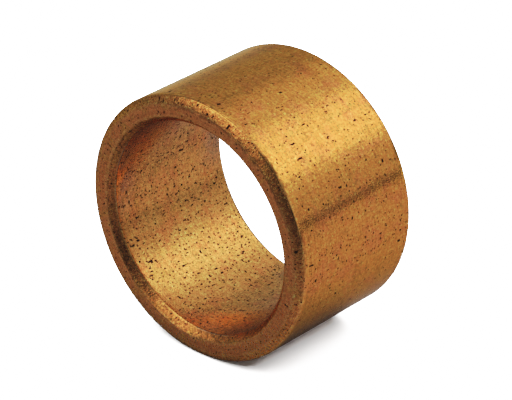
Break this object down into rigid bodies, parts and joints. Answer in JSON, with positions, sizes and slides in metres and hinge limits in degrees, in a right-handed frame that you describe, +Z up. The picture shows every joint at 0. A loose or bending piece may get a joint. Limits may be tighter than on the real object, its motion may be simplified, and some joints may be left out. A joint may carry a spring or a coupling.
{
  "type": "sleeve bushing",
  "caption": "Plain oil-impregnated sintered bronze sleeve: a straight thin-walled ring with chamfered ends that carries a rotating shaft in its bore.",
  "frame": {"origin": "middle of the bore: on its axis, half way between the two end faces", "axes": "+Y along the bore, +Z up with the bushing lying on its side, +X across it; the end shown to the viewer faces -Y"},
  "size_m": [0.02, 0.012, 0.02],
  "materials": {
    "sintered_bronze": "satin sintered bronze with fine dark pores, burnished outside by the sizing die, more open pores in the bore"
  },
  "bodies": {
    "root": {"sleeve": "sintered_bronze"}
  },
  "joints": []
}
